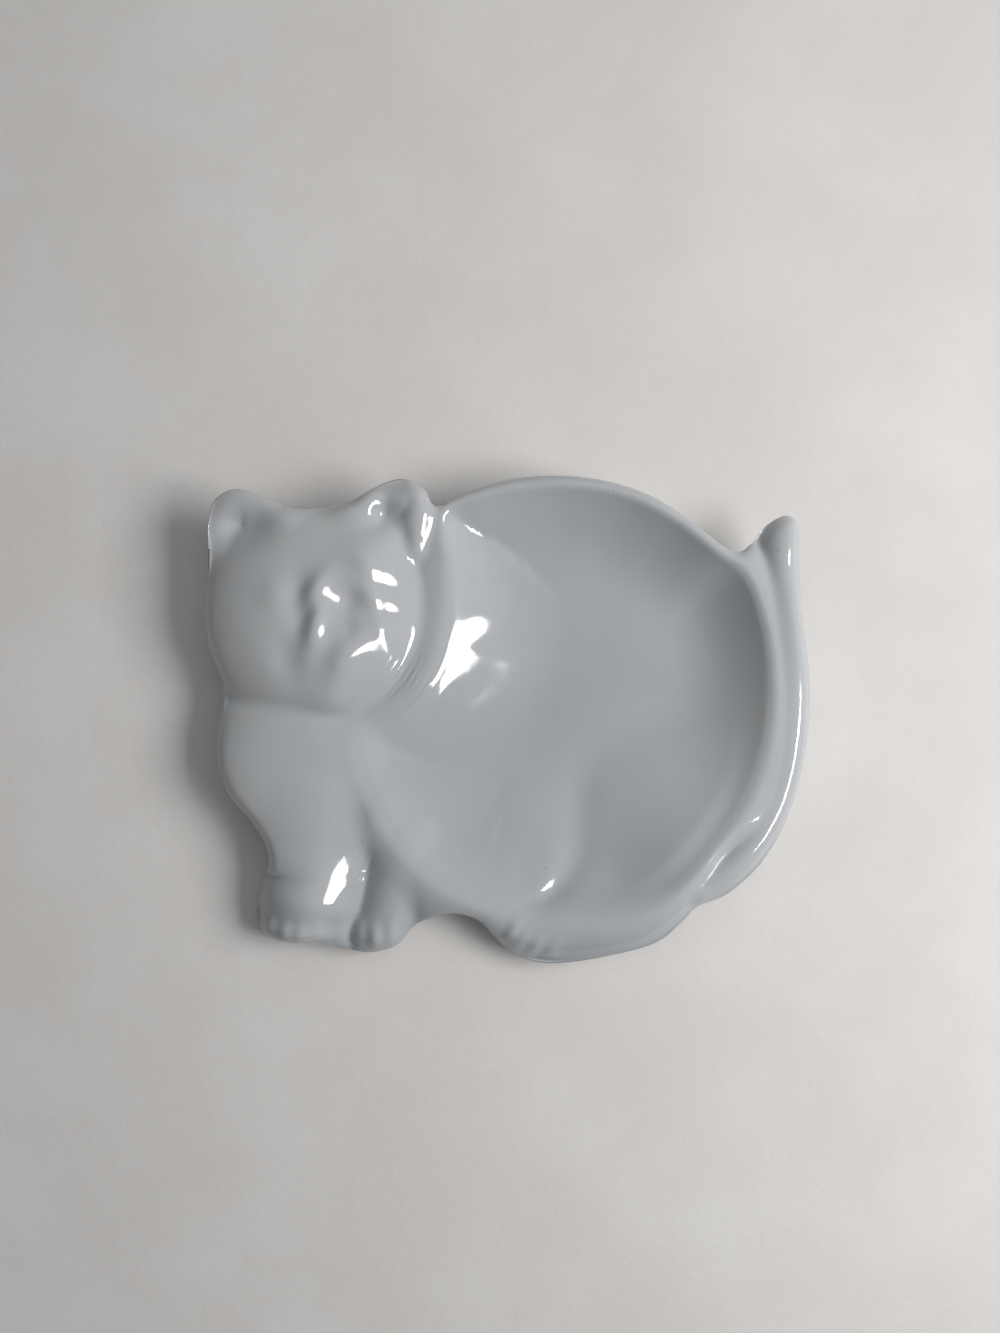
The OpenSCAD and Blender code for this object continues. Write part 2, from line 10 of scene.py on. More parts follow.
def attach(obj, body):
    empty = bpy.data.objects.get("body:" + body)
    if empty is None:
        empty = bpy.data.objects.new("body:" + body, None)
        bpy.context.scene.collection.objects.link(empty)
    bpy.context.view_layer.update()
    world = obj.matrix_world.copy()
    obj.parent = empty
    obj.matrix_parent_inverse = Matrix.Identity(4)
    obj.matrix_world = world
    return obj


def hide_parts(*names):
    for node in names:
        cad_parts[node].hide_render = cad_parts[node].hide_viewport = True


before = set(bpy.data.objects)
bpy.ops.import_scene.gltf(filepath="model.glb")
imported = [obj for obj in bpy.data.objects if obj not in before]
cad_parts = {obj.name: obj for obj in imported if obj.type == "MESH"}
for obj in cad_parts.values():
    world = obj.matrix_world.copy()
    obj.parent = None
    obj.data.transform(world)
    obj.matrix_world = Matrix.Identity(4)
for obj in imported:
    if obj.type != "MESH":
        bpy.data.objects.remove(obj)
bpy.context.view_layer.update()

MM = 0.001

# Sizes of the cat in millimetres, as in the part's source.
LENGTH, DEPTH = 115.3, 94
RIM_HEIGHT, FLOOR_TOP, WALL_RUN, RIM_ROUND, FLOOR_FADE = 14, 5.2, 17, 1.4, 5
CROWN_HEIGHT, HEAD_DROP, HEAD_REACH = 17.2, 5.2, 20.5
FACE_RISE, EAR_DEPTH, EAR_BLEND, HEAD_BLEND = 2, 2.8, 2.2, 1.3
CHEST_HEIGHT, CHEST_DROP, CHEST_REACH, CHEST_BLEND = 13.2, 5.6, 19, 2
LIMB_ROUND, LIMB_BLEND, TAIL_BLEND = 10, 1.6, 1
THIGH_RISE, FOLD_DEPTH, FOLD_WIDTH, TOE_RISE = 1.9, 1.8, 10, 0.9
EDGE_ROUND, EDGE_FACE, WALL = 2.4, 0.8, 3.6
FOOT_HEIGHT, FOOT_LAND, RECESS_RUN = 1.2, 5.4, 6
# Powers of the basin's wall, the flare below the edge and the domes, and the rim's outer slope.
WALL_POWER, FLARE_POWER, DOME_POWER, CREST_SLOPE = 2.3, 1.6, 3, 0.35

# The tables below give every value as a share: x of LENGTH, y of DEPTH, a height of RIM_HEIGHT
# and a radius along a crest of LIMB_ROUND. Some rows were changed after the CAD was packed and
# differ from the part's source. The edge beside the chest, the rim's right side, the fold and the
# left ear's hollow were changed. The left foreleg's back, the right ear's rim and the small forms
# of face, right ear, left foreleg and neck wall come from a fit, made in a scratch program, that
# lays the window's reflections where the photo has them.

# Outline of the cat, clockwise from behind the right ear: x, y and height of the edge.
OUTLINE = [
    [-.117, .439, .929], [-.068, .465, .929], [.004, .492, .929], [.086, .4997, .929],
    [.168, .487, .929], [.241, .455, .929], [.307, .402, .929], [.352, .361, .893],
    [.379, .347, .857], [.402, .365, .857], [.427, .402, .893], [.457, .419, .929],
    [.476, .397, .893], [.48, .321, .857], [.487, .21, .821], [.498, .109, .786],
    [.4989, .028, .786], [.488, -.083, .786], [.465, -.185, .75], [.424, -.279, .714],
    [.367, -.346, .679], [.316, -.375, .643], [.294, -.406, .571], [.249, -.454, .5],
    [.165, -.485, .429], [.073, -.5, .393], [.017, -.483, .393], [-.016, -.448, .5],
    [-.046, -.406, .607], [-.087, -.389, .643], [-.126, -.399, .571], [-.158, -.422, .429],
    [-.189, -.465, .357], [-.233, -.479, .357], [-.276, -.47, .357], [-.315, -.46, .357],
    [-.369, -.46, .357], [-.411, -.445, .357], [-.424, -.4, .393], [-.411, -.328, .5],
    [-.401, -.267, .571], [-.426, -.202, .643], [-.464, -.141, .7], [-.482, -.063, .71],
    [-.477, .038, .64], [-.477, .089, .63], [-.493, .15, .74], [-.5, .227, .821],
    [-.493, .301, .857], [-.49, .351, .893], [-.49, .4, .929], [-.477, .45, .964],
    [-.442, .471, 1], [-.401, .458, .964], [-.364, .438, .929], [-.315, .434, .929],
    [-.263, .445, .929], [-.218, .474, .964], [-.172, .491, 1], [-.136, .471, .964]
]
# Points of the outline at which a form begins or ends.
BACK, TAIL, HIND, FLANK, RIGHT_PAW, LEFT_PAW = 0, 8, 21, 27, 30, 35
LEFT_PAW_END, CHEEK, LEFT_EAR, BROW, RIGHT_EAR = 38, 45, 49, 54, 56
# Crest of the basin's rim: x, y, height, how it rounds off outwards, and the wall's run and power.
RIM = [
    [-.099, .422, .957, .9, 1, 1], [-.045, .453, .993, .8, 1, 1], [.037, .473, 1.014, .7, 1, 1],
    [.118, .474, 1.021, .7, 1, 1], [.199, .454, 1.021, .7, 1, 1], [.273, .409, 1, .6, 1, 1],
    [.333, .353, .986, .6, 1, 1], [.388, .296, .957, 1.2, 1, 1], [.418, .2, .929, 2, 1, 1],
    [.429, .089, .929, 3, 1.1, 1], [.423, -.021, .929, 3.4, 1.25, 1],
    [.397, -.126, .914, 3, 1.35, 1], [.357, -.214, .893, .45, 1.35, 1],
    [.305, -.296, .857, .35, 1.2, 1], [.255, -.353, .786, .6, 1.05, .95],
    [.198, -.389, .721, .8, .9, .9], [.121, -.405, .686, .8, .8, .87],
    [.054, -.397, .657, .8, .82, .87], [.008, -.383, .664, .9, .85, .87],
    [-.029, -.366, .686, 1, .95, .85], [-.075, -.343, .714, 1, 1.1, .8],
    [-.128, -.301, .75, 1, 1.25, .78], [-.176, -.235, .786, .9, 1.45, .76],
    [-.215, -.153, .814, .9, 1.6, .75], [-.238, -.083, .821, 1, 1.75, .72],
    [-.243, -.036, .814, 1.2, 1.85, .7], [-.22, 0, .807, 1.5, 1.8, .72],
    [-.174, .031, .814, 1.8, 1.6, .8], [-.132, .079, .843, 2.2, 1.42, .88],
    [-.104, .15, .857, 2.6, 1.36, .9], [-.091, .24, .857, 2.6, 1.36, .88],
    [-.091, .331, .886, 1.8, 1.2, .92]
]
# Creases between the cat's forms, inner points only.
EAR_BACK_SEAM = [[-.126, .396]]
NECK_SEAM = [[-.152, .291], [-.16, .23], [-.162, .17], [-.172, .105], [-.193, .053], [-.224, .015]]
CHEST_SEAM = [[-.26, -.056], [-.254, -.116], [-.239, -.179]]
FLANK_SEAM = [[-.2, -.274], [-.17, -.322]]
LEG_SEAM = [[-.232, -.29], [-.267, -.36]]
CHIN_SEAM = [[-.338, .009], [-.41, .051]]
LEFT_EAR_SEAM = [[-.464, .355], [-.435, .372], [-.407, .394], [-.384, .418]]
RIGHT_EAR_SEAM = [[-.236, .412], [-.203, .376], [-.17, .353]]
HAUNCH_SEAM = [[.284, -.348], [.238, -.342], [.16, -.34], [.078, -.34], [.021, -.368]]
TAIL_SEAM = [
    [.384, .339], [.391, .327], [.397, .311], [.405, .287], [.42, .238], [.435, .17], [.445, .099],
    [.446, .025], [.433, -.068], [.407, -.155], [.372, -.237], [.336, -.31]
]
EAR_CORNER, THROAT, ELBOW = [-.137, .347], [-.256, -.006], [-.218, -.233]
# Backs of the limbs and rims of the ears: x, y, height and radius.
LEFT_LEG = [
    [-.335, -.132, .914, 1.8], [-.332, -.24, .864, 2.048], [-.325, -.318, .848, .97],
    [-.339, -.368, .849, .902], [-.346, -.411, .701, .871]
]
RIGHT_LEG = [
    [-.171, -.24, .729, .8], [-.182, -.314, .7, .7], [-.203, -.387, .614, .6],
    [-.215, -.421, .564, .6]
]
TAIL_CREST = [
    [.318, -.337, .771, .34], [.375, -.287, .829, .32], [.428, -.205, .871, .3],
    [.457, -.118, .9, .3], [.472, .009, .929, .3], [.471, .129, .957, .3], [.462, .23, .971, .32],
    [.453, .309, 1, .34], [.452, .358, 1.043, .36], [.454, .385, 1.029, .36]
]
HIND_LEG = [
    [.319, -.338, .729, .3], [.263, -.366, .75, .4], [.179, -.403, .721, .5],
    [.096, -.415, .671, .55], [.041, -.423, .614, .55], [.021, -.426, .586, .55]
]
LEFT_EAR_RIM = [
    [-.475, .357, .871, .36], [-.475, .41, .936, .38], [-.46, .441, 1, .4],
    [-.433, .454, 1.036, .42], [-.402, .442, 1.043, .48], [-.366, .418, 1.057, .55]
]
RIGHT_EAR_RIM = [
    [-.253, .427, 1.071, .674], [-.227, .452, 1.064, .304], [-.2, .461, 1.008, .341],
    [-.168, .455, 1.062, .39], [-.148, .452, 1.086, .339], [-.149, .402, 1.05, .317],
    [-.151, .356, .946, .189]
]
# Fold between belly and thigh: x, y, depth as a share of FOLD_DEPTH and width of FOLD_WIDTH.
FOLD = [
    [.309, .022, .111, .54], [.233, -.015, .222, .5], [.17, -.063, .306, .48],
    [.13, -.129, .361, .44], [.12, -.206, .389, .4], [.118, -.27, .389, .34],
    [.099, -.322, .444, .26], [.066, -.368, .722, .19], [.025, -.38, .667, .18]
]
# Middle of the foot's ground ring.
FOOT_LINE = [
    [-.424, .236], [-.4, .33], [-.323, .355], [-.22, .34], [-.1, .374], [.022, .42], [.143, .42],
    [.247, .37], [.316, .279], [.347, .151], [.34, -.008], [.313, -.145], [.256, -.26],
    [.169, -.335], [.074, -.345], [-.03, -.315], [-.133, -.315], [-.22, -.365], [-.297, -.374],
    [-.345, -.311], [-.361, -.188], [-.405, -.071], [-.424, .067]
]
# Small forms: x, y, a share of their group's rise (below 0 a hollow), two radii as shares of
# LENGTH and a turn in degrees.
FACE = [
    [-.267, .122, .432, .047, .023, 69], [-.309, .2, .619, .017, .045, -13],
    [-.312, .265, .546, .016, .036, -36], [-.333, .222, -.314, .022, .032, -5],
    [-.337, .271, -.17, .021, .035, 3], [-.259, .243, -.556, .022, .029, -5],
    [-.374, .258, .241, .026, .026, 0], [-.209, .356, .825, .053, .068, -41],
    [-.212, .225, .3, .016, .045, 18], [-.184, .266, -.178, .039, .018, -43],
    [-.208, .223, -.354, .04, .019, -10], [-.236, .167, .29, .054, .029, 45],
    [-.355, .127, -.303, .024, .036, 17], [-.285, .042, .399, .045, .033, -17],
    [-.255, .188, -.201, .017, .02, -10], [-.244, .223, .039, .03, .02, -13],
    [-.226, .316, .227, .025, .016, -39], [-.246, .249, -.037, .02, .02, 0],
    [-.304, .168, .142, .02, .021, -1]
]
RIGHT_EAR_SWELLS = [
    [-.168, .44, .736, .029, .043, -13], [-.165, .412, .35, .021, .035, 0],
    [-.172, .417, .305, .024, .03, -1], [-.176, .428, .278, .024, .031, -1],
    [-.173, .376, .033, .024, .03, 1]
]
LEFT_EAR_HOLLOW = [[-.416, .403, -.268, .035, .048, -32]]
TOES = [
    [-.399, -.421, .889, .012, .023, 0], [-.371, -.43, 1, .012, .023, 0],
    [-.344, -.43, 1, .012, .023, 0], [-.319, -.425, .778, .012, .021, 0],
    [-.276, -.434, .889, .012, .023, 8], [-.251, -.444, 1, .012, .023, 4],
    [-.223, -.446, 1, .012, .023, -2], [-.194, -.436, .778, .013, .023, -12],
    [.008, -.427, .667, .011, .02, -35], [.025, -.444, .778, .011, .021, -35],
    [.047, -.456, .889, .012, .022, -30], [.074, -.465, .667, .013, .022, -25]
]
LEFT_LEG_SWELLS = [[-.241, -.229, .433, .026, .031, 2], [-.283, -.321, -.308, .022, .059, -13]]
BELLY_AND_THIGH = [[.25, -.181, 1, .117, .13, 0], [.022, -.233, .737, .113, .078, -35]]
NECK_WALL_SWELLS = [
    [-.015, .081, .134, .065, .041, 63], [-.036, .133, .208, .052, .028, 1],
    [-.138, .08, -.322, .031, .039, -5], [-.06, .059, .177, .052, .028, 32],
    [-.088, .2, .157, .068, .028, 36], [-.033, .267, -.041, .056, .042, 15]
]
HEAD_MIDDLE, CHEST_MIDDLE = [-.324, .236], [-.354, -.074]
DISH_MIDDLE, FACE_MIDDLE = [.106, .06], [-.3, .22]

# Steps of the skin between two points of an outline, and its rings and cells across the forms.
STEPS = 9
WALL_RINGS, RIM_RINGS, HEAD_RINGS = 33, 12, 44
UNDER_DISH_RINGS, UNDER_HEAD_RINGS = 24, 18
EAR_CELLS, LIMB_CELLS = 18, 24
# How much closer together the rings and cells lie outwards, as powers.
WALL_CROWDING, HEAD_CROWDING, STRIP_CROWDING = 1.5, 1.15, 1.4
UNDER_DISH_CROWDING, UNDER_HEAD_CROWDING = 1.3, 1.2
# The rim's crest lies within a share of each spoke of the basin, and is found in some rounds.
LAST_WAY, WAY_ROUNDS = 0.96, 4
# The nearest place on a curve is looked for at some places of each span, a batch of points at a
# time, and then refined in steps no longer than a share of a span.
PLACES_A_SPAN, BATCH, REFINEMENTS, LONGEST_STEP = 8, 4096, 6, 0.2
# Points that agree to so many digits of a millimetre are one.
DIGITS = 4


def scaled(rows, *units):
    """Rows of shares in their own units."""
    return np.array([[v * u for v, u in zip(row, units)] for row in rows], float)


class Curve:
    """Smooth curve through points that carry x, y and further values."""

    def __init__(self, points, closed):
        self.points = np.asarray(points, float)
        self.closed = closed
        self.spans = len(self.points) - (0 if closed else 1)
        if not closed:
            first, second = self.points[:2]
            before, last = self.points[-2:]
            self.points = np.vstack([2 * first - second, self.points, 2 * last - before])

    def at(self, u):
        """Values and slopes at u, counted in spans."""
        u = np.mod(u, self.spans) if self.closed else np.clip(u, 0, self.spans)
        i = np.minimum(np.floor(u).astype(int), self.spans - 1)
        t = (u - i)[..., None]
        if self.closed:
            a, b, c, d = (self.points[(i + k) % len(self.points)] for k in (-1, 0, 1, 2))
        else:
            a, b, c, d = (self.points[i + k] for k in (0, 1, 2, 3))
        bend, twist = 2 * a - 5 * b + 4 * c - d, 3 * b - a - 3 * c + d
        value = (2 * b + (c - a) * t + bend * t ** 2 + twist * t ** 3) / 2
        slope = ((c - a) + 2 * bend * t + 3 * twist * t ** 2) / 2
        return value, slope

    def part(self, first, last):
        return self.at(np.linspace(first, last, (last - first) * STEPS + 1))[0]

    def nearest(self, p):
        """Distance to the curve, side (1 inside a clockwise loop) and the values there."""
        us = np.arange(self.spans * PLACES_A_SPAN) / PLACES_A_SPAN
        near = self.at(us)[0][:, :2]
        best = np.empty(len(p))
        for k in range(0, len(p), BATCH):
            q = p[k:k + BATCH, None]
            gap = (q[..., 0] - near[:, 0]) ** 2 + (q[..., 1] - near[:, 1]) ** 2
            best[k:k + BATCH] = us[np.argmin(gap, 1)]
        for _ in range(REFINEMENTS):
            value, slope = self.at(best)
            w = p - value[:, :2]
            step = (w * slope[:, :2]).sum(1) / np.maximum((slope[:, :2] ** 2).sum(1), 1e-9)
            best = best + np.clip(step, -LONGEST_STEP, LONGEST_STEP)
            if not self.closed:
                best = np.clip(best, 0, self.spans)
        value, slope = self.at(best)
        w = p - value[:, :2]
        side = np.where(slope[:, 0] * w[:, 1] > slope[:, 1] * w[:, 0], -1.0, 1.0)
        return np.hypot(w[:, 0], w[:, 1]), side, value


def crest(rows):
    return Curve(scaled(rows, LENGTH, DEPTH, RIM_HEIGHT, LIMB_ROUND), False)


EDGE = Curve(scaled(OUTLINE, LENGTH, DEPTH, RIM_HEIGHT), True)
RIM_CREST = Curve(scaled(RIM, LENGTH, DEPTH, RIM_HEIGHT, LIMB_ROUND, WALL_RUN, WALL_POWER), True)
FOOT = Curve(scaled(FOOT_LINE, LENGTH, DEPTH), True)
FOLD_LINE = Curve(scaled(FOLD, LENGTH, DEPTH, FOLD_DEPTH, FOLD_WIDTH), False)
LIMBS = [(crest(LEFT_LEG), LIMB_BLEND), (crest(RIGHT_LEG), LIMB_BLEND),
         (crest(TAIL_CREST), TAIL_BLEND), (crest(HIND_LEG), LIMB_BLEND)]
EARS = [crest(LEFT_EAR_RIM), crest(RIGHT_EAR_RIM)]


# Relief: heights in millimetres over points p.

def smooth(t):
    t = np.clip(t, 0, 1)
    return t * t * (3 - 2 * t)


def over(a, b, blend):
    """The higher of two reliefs, with a fillet where they meet, a quarter of blend high."""
    h = np.maximum(blend - np.abs(a - b), 0) / blend
    return np.maximum(a, b) + h * h * blend / 4


def forms(p, rows, rise):
    """Sum of small oval swells and hollows."""
    total = np.zeros(len(p))
    for x, y, share, rx, ry, turn in rows:
        w = p - [x * LENGTH, y * DEPTH]
        c, s = math.cos(math.radians(turn)), math.sin(math.radians(turn))
        u = (w[:, 0] * c + w[:, 1] * s) / (rx * LENGTH)
        v = (w[:, 1] * c - w[:, 0] * s) / (ry * LENGTH)
        total += share * rise * np.exp(-u * u - v * v)
    return total


def back_of(curve, p):
    """Rounded back along a crest."""
    gap, _, value = curve.nearest(p)
    return value[:, 2] - gap ** 2 / (2 * value[:, 3])


def dome(p, middle, height, drop, reach):
    gap = np.hypot(p[:, 0] - middle[0] * LENGTH, p[:, 1] - middle[1] * DEPTH)
    return height - drop * (gap / reach) ** DOME_POWER


def bowl(p):
    """Basin: a wall from the rim's crest to the floor, with belly, thigh and fold."""
    gap, side, value = RIM_CREST.nearest(p)
    d, (z, round_off, run, power) = gap * side, value[:, 2:].T
    left = np.clip(1 - d / run, 0, 1)
    inner = FLOOR_TOP + (z - FLOOR_TOP) * np.where(d > 0, left ** power, 1 - power * d / run)
    outer = z + np.where(d < 0, -d * d / (2 * round_off), CREST_SLOPE * d)
    gap, _, value = FOLD_LINE.nearest(p)
    fold = value[:, 2] * np.exp(-(gap / value[:, 3]) ** 2)
    shape = -over(-inner, -outer - RIM_ROUND / 4, RIM_ROUND)
    swells = forms(p, BELLY_AND_THIGH + NECK_WALL_SWELLS, THIGH_RISE)
    return shape + smooth(d / FLOOR_FADE) * (swells - fold)


def torso(p):
    return over(bowl(p), dome(p, CHEST_MIDDLE, CHEST_HEIGHT, CHEST_DROP, CHEST_REACH), CHEST_BLEND)


def skull(p):
    return dome(p, HEAD_MIDDLE, CROWN_HEIGHT, HEAD_DROP, HEAD_REACH)


def upper(p):
    """Upper side: torso, limbs, head and toes, rounded off towards the edge."""
    z = torso(p)
    for limb, blend in LIMBS:
        z = over(z, back_of(limb, p), blend)
    ears = over(back_of(EARS[0], p), back_of(EARS[1], p), RIM_ROUND)
    face = skull(p) + forms(p, FACE + RIGHT_EAR_SWELLS, FACE_RISE)
    head = over(ears, face, EAR_BLEND) + forms(p, LEFT_EAR_HOLLOW, EAR_DEPTH)
    z = over(z, head, HEAD_BLEND) + forms(p, TOES + LEFT_LEG_SWELLS, TOE_RISE)
    gap, _, value = EDGE.nearest(p)
    t = 1 - np.clip(gap / EDGE_ROUND, 0, 1)
    return value[:, 2] + (z - value[:, 2]) * np.sqrt(1 - t * t)


def lower(p):
    """Underside: recess inside the foot, the foot's ground ring, and the flare up to the edge."""
    gap, _, value = EDGE.nearest(p)
    out, side, _ = FOOT.nearest(p)
    out = out - FOOT_LAND / 2
    ceiling = np.maximum(over(torso(p), skull(p), HEAD_BLEND) - WALL, FOOT_HEIGHT)
    inside = FOOT_HEIGHT + (ceiling - FOOT_HEIGHT) * smooth(out / RECESS_RUN)
    share = np.clip(out, 0, None) / (gap + np.clip(out, 1e-6, None))
    outside = FOOT_HEIGHT + (value[:, 2] - EDGE_FACE - FOOT_HEIGHT) * share ** FLARE_POWER
    return np.where(out <= 0, FOOT_HEIGHT, np.where(side > 0, inside, outside))


# Plan of the skin: the cat's forms as grids of points.

def spot(share):
    return np.array([share[0] * LENGTH, share[1] * DEPTH])


def seam(first, rows, last):
    """Points of the skin along a crease between two ends."""
    points = np.vstack([first] + [spot(r) for r in rows] + [last])
    return Curve(points, False).part(0, len(points) - 1)[:, :2]


def edge(first, last):
    """Points of the skin along the outline."""
    return EDGE.part(first, last)[:, :2]


def edge_spot(i):
    return spot(OUTLINE[i])


def even_shares(n):
    """Shares of a way in n even steps."""
    return np.arange(n + 1) / n


def shares(n, crowding):
    """Shares of a way in n steps, closer together towards its end."""
    return 1 - (1 - even_shares(n)) ** crowding


def blended(a, b, first, last, across):
    """Grid between two sides and two ends."""
    v = even_shares(len(a) - 1)[:, None, None]
    u = across[None, :, None]
    ends = (1 - v) * first[None] + v * last[None]
    low, high = (1 - u) * first[0] + u * first[-1], (1 - u) * last[0] + u * last[-1]
    return (1 - u) * a[:, None] + u * b[:, None] + ends - ((1 - v) * low + v * high)


def rings(loop, middle, ways):
    """Grid of rings from a middle to its loop, ways being their shares of each spoke."""
    return middle + (loop - middle)[None] * np.asarray(ways)[..., None]


def crowded_rings(loop, middle, count, crowding):
    return rings(loop, middle, shares(count, crowding)[:, None])


def crest_ways(loop, middle):
    """Share of each spoke's way at which it crosses the rim's crest."""
    spoke = loop - middle
    reach = np.hypot(spoke[:, 0], spoke[:, 1])
    way = np.full(len(loop), LAST_WAY)
    for _ in range(WAY_ROUNDS):
        gap, side, _ = RIM_CREST.nearest(middle + spoke * way[:, None])
        way = way + gap * side / reach
    return np.minimum(way, LAST_WAY)


def pinch(i, cells):
    """A grid's end that shrinks to one point of the outline."""
    return np.tile(edge_spot(i), (cells + 1, 1))


# The forms in the order of their grids in plan.
FORMS = ("dish", "head", "left_ear", "right_ear", "left_foreleg", "right_foreleg", "hind_leg",
         "tail")


def creases():
    """The seams between the cat's forms, each from its first end to its last."""
    rows = {
        "ear_back": (edge_spot(BACK), EAR_BACK_SEAM, spot(EAR_CORNER)),
        "neck": (spot(EAR_CORNER), NECK_SEAM, spot(THROAT)),
        "chest": (spot(THROAT), CHEST_SEAM, spot(ELBOW)),
        "flank": (spot(ELBOW), FLANK_SEAM, edge_spot(RIGHT_PAW)),
        "leg": (spot(ELBOW), LEG_SEAM, edge_spot(LEFT_PAW)),
        "chin": (spot(THROAT), CHIN_SEAM, edge_spot(CHEEK)),
        "left_ear": (edge_spot(LEFT_EAR), LEFT_EAR_SEAM, edge_spot(BROW)),
        "right_ear": (edge_spot(RIGHT_EAR), RIGHT_EAR_SEAM, spot(EAR_CORNER)),
        "haunch": (edge_spot(HIND), HAUNCH_SEAM, edge_spot(FLANK)),
        "tail": (edge_spot(TAIL), TAIL_SEAM, edge_spot(HIND))}
    return {name: seam(*parts) for name, parts in rows.items()}


def dish_grids(crease):
    """The dish's upper side, with one of its rings on the rim's crest, and its underside."""
    loop = np.vstack([
        edge(BACK, TAIL), crease["tail"][1:], crease["haunch"][1:], edge(FLANK, RIGHT_PAW)[1:],
        crease["flank"][-2::-1], crease["chest"][-2::-1], crease["neck"][-2::-1],
        crease["ear_back"][-2:0:-1]])
    middle = spot(DISH_MIDDLE)
    ways = crest_ways(loop, middle)
    wall = shares(WALL_RINGS, WALL_CROWDING)[:, None] * ways
    rim = ways + (1 - ways) * even_shares(RIM_RINGS)[1:, None]
    return (rings(loop, middle, np.concatenate([wall, rim])),
            crowded_rings(loop, middle, UNDER_DISH_RINGS, UNDER_DISH_CROWDING))


def head_grids(crease):
    """The head's upper side and its underside."""
    loop = np.vstack([
        crease["left_ear"], edge(BROW, RIGHT_EAR)[1:], crease["right_ear"][1:],
        crease["neck"][1:], crease["chin"][1:], edge(CHEEK, LEFT_EAR)[1:-1]])
    middle = spot(FACE_MIDDLE)
    return (crowded_rings(loop, middle, HEAD_RINGS, HEAD_CROWDING),
            crowded_rings(loop, middle, UNDER_HEAD_RINGS, UNDER_HEAD_CROWDING))


def ear_grids(crease):
    """Left and right ear, from crease to outline."""
    left = blended(
        crease["left_ear"], edge(LEFT_EAR, BROW),
        pinch(LEFT_EAR, EAR_CELLS), pinch(BROW, EAR_CELLS), shares(EAR_CELLS, STRIP_CROWDING))
    cells = len(crease["ear_back"]) - 1
    right = blended(
        crease["right_ear"], edge(RIGHT_EAR, len(OUTLINE)),
        pinch(RIGHT_EAR, cells), crease["ear_back"][::-1], shares(cells, STRIP_CROWDING))
    return [left, right]


def foreleg_grids(crease):
    """Left foreleg with the chest, and right foreleg."""
    left = blended(
        edge(LEFT_PAW_END, CHEEK)[::-1], np.vstack([crease["chest"], crease["leg"][1:]]),
        crease["chin"][::-1], edge(LEFT_PAW, LEFT_PAW_END)[::-1],
        even_shares(len(crease["chin"]) - 1) ** STRIP_CROWDING)
    paw = edge(RIGHT_PAW, LEFT_PAW)[::-1]
    elbow = np.tile(spot(ELBOW), (len(paw), 1))
    right = blended(crease["leg"], crease["flank"], elbow, paw, even_shares(len(paw) - 1))
    return [left, right]


def rear_grids(crease):
    """Hind leg and tail."""
    across = shares(LIMB_CELLS, STRIP_CROWDING)
    hind_leg = blended(crease["haunch"], edge(HIND, FLANK),
                       pinch(HIND, LIMB_CELLS), pinch(FLANK, LIMB_CELLS), across)
    tail = blended(crease["tail"], edge(TAIL, HIND),
                   pinch(TAIL, LIMB_CELLS), pinch(HIND, LIMB_CELLS), across)
    return [hind_leg, tail]


def plan():
    """Grids of the upper side and of the underside, each with whether its rows are closed."""
    crease = creases()
    dish, under_dish = dish_grids(crease)
    head, under_head = head_grids(crease)
    strips = ear_grids(crease) + foreleg_grids(crease) + rear_grids(crease)
    open_grids = [(grid, False) for grid in strips]
    return ([(dish, True), (head, True)] + open_grids,
            [(under_dish, True), (under_head, True)] + open_grids)


def joined_grids():
    """Places once each, as x, y and layer (0 above, 1 below), and the forms' faces by layer."""
    places, cells, count = [], [[] for _ in FORMS], 0
    for layer, grids in enumerate(plan()):
        for form, (grid, closed) in zip(cells, grids):
            n, m = grid.shape[:2]
            index = count + np.arange(n * m).reshape(n, m)
            count += n * m
            places.append(np.hstack([grid.reshape(-1, 2), np.full((n * m, 1), layer)]))
            right = np.roll(index, -1, 1) if closed else index[:, 1:]
            left = index if closed else index[:, :-1]
            quads = np.stack([left[:-1], left[1:], right[1:], right[:-1]], -1).reshape(-1, 4)
            form.append(quads if (layer == 0) == closed else quads[:, ::-1])
    places = np.vstack(places)
    _, first, number = np.unique(
        np.round(places, DIGITS), axis=0, return_index=True, return_inverse=True)
    faces = []
    for form in cells:
        # a quad that is pinched to a triangle loses its double corner, and one to a line goes
        sides = [[list(dict.fromkeys(quad)) for quad in number.reshape(-1)[quads].tolist()]
                 for quads in form]
        faces.append([[face for face in side if len(face) > 2] for side in sides])
    return places[first], faces


def closing_bands(places, faces):
    """Form by form, the upright faces round its border, from its upper side to its underside."""
    twins = {}
    for i, (x, y, layer) in enumerate(np.round(places, DIGITS)):
        twins.setdefault((x, y), [None, None])[int(layer)] = i
    below = dict(twins.values())
    bands = []
    for top, _ in faces:
        steps = {pair for face in top for pair in zip(face, face[1:] + face[:1])}
        border = [(a, b) for a, b in sorted(steps) if (b, a) not in steps]
        bands.append([[b, a, below[a], below[b]] for a, b in border])
    return bands


def smooth_normals(vertices, faces):
    """Direction of each vertex, from the faces round it by their areas."""
    normals = np.zeros_like(vertices)
    for face in faces:
        a, b, c = vertices[face[0]], vertices[face[1]], vertices[face[2]]
        turn = np.cross(b - a, c - a)
        if len(face) == 4:
            turn = turn + np.cross(c - a, vertices[face[3]] - a)
        normals[face] += turn
    return normals / np.maximum(np.linalg.norm(normals, axis=1, keepdims=True), 1e-12)


